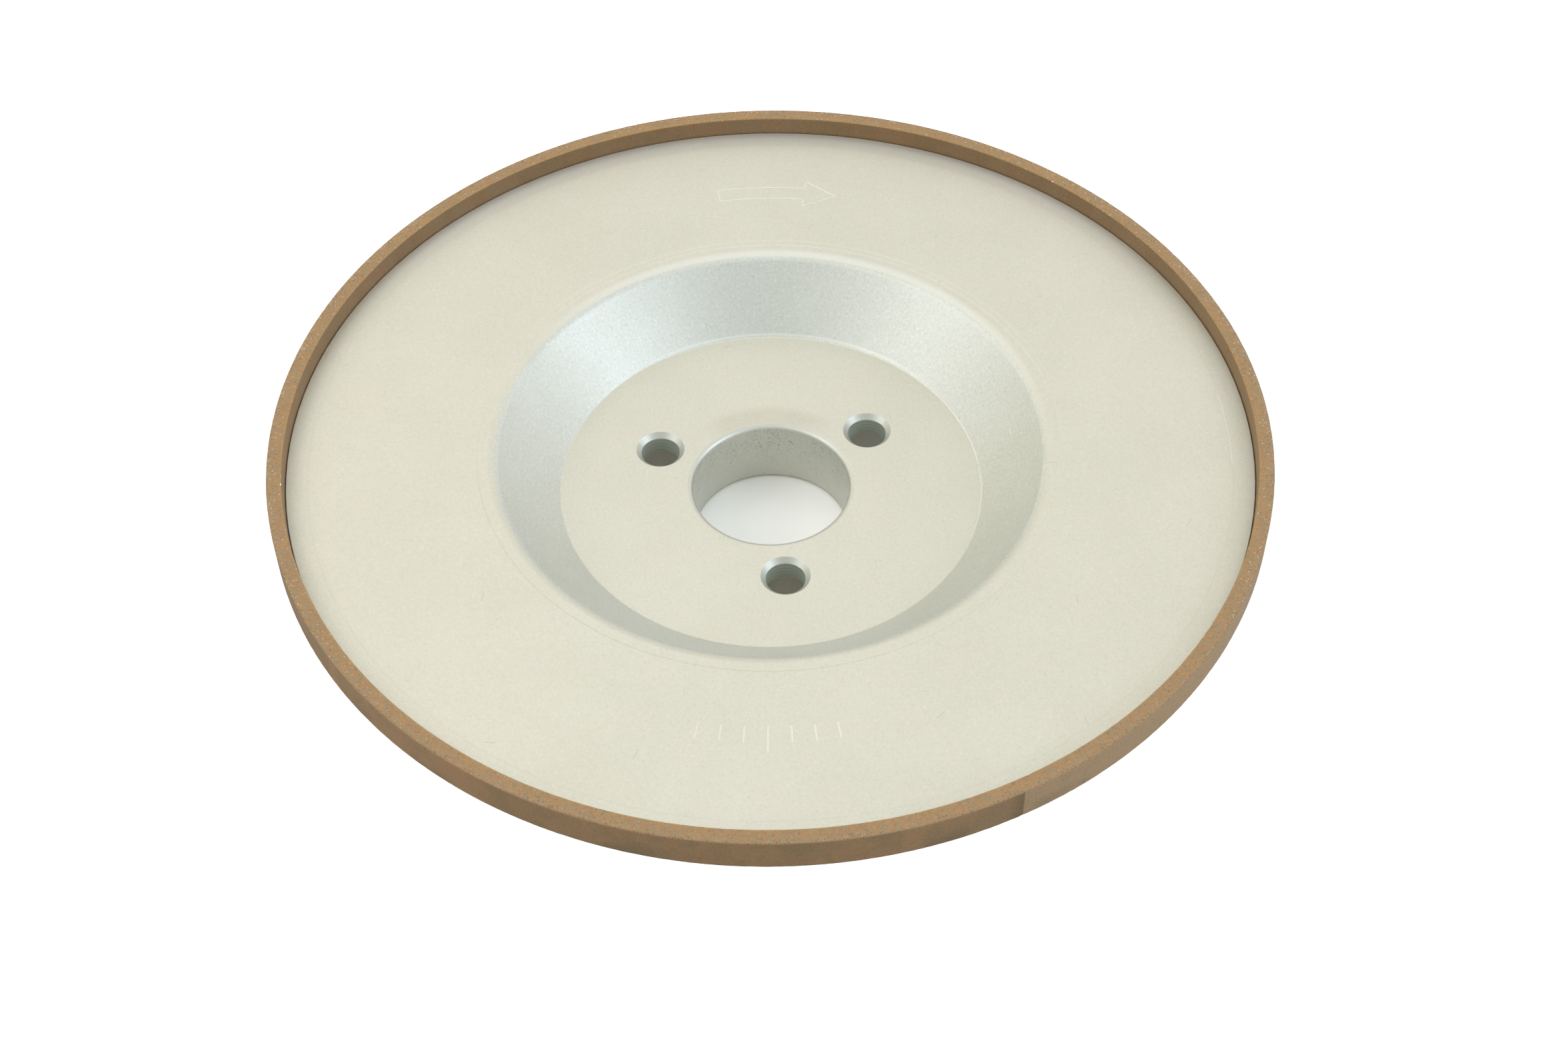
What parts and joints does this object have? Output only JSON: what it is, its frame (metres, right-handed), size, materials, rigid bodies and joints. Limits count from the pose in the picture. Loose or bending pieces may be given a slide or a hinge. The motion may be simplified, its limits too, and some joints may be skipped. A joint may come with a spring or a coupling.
{
  "type": "diamond grinding wheel",
  "caption": "Dished cup-style grinding wheel: turned aluminium body with central bore and hub screw holes, and a narrow resin-bonded diamond ring around its edge.",
  "frame": {"origin": "centre of the bore at the free end of the hub boss, the face the wheel stands on", "axes": "+Z along the spindle axis, out of the abrasive face; one screw hole lies on -Y"},
  "size_m": [0.2, 0.2, 0.0318],
  "materials": {
    "blasted_aluminium": "fine bead-blasted matte, warm silver grey",
    "resin_bond_abrasive": "moulded brown phenolic resin full of fine diamond grit, satin outer skin and dressed grainy face",
    "adhesive": "cured dark epoxy"
  },
  "bodies": {
    "root": {"wheel_body": "blasted_aluminium", "diamond_ring": "resin_bond_abrasive", "ring_bond": "adhesive"}
  },
  "joints": []
}
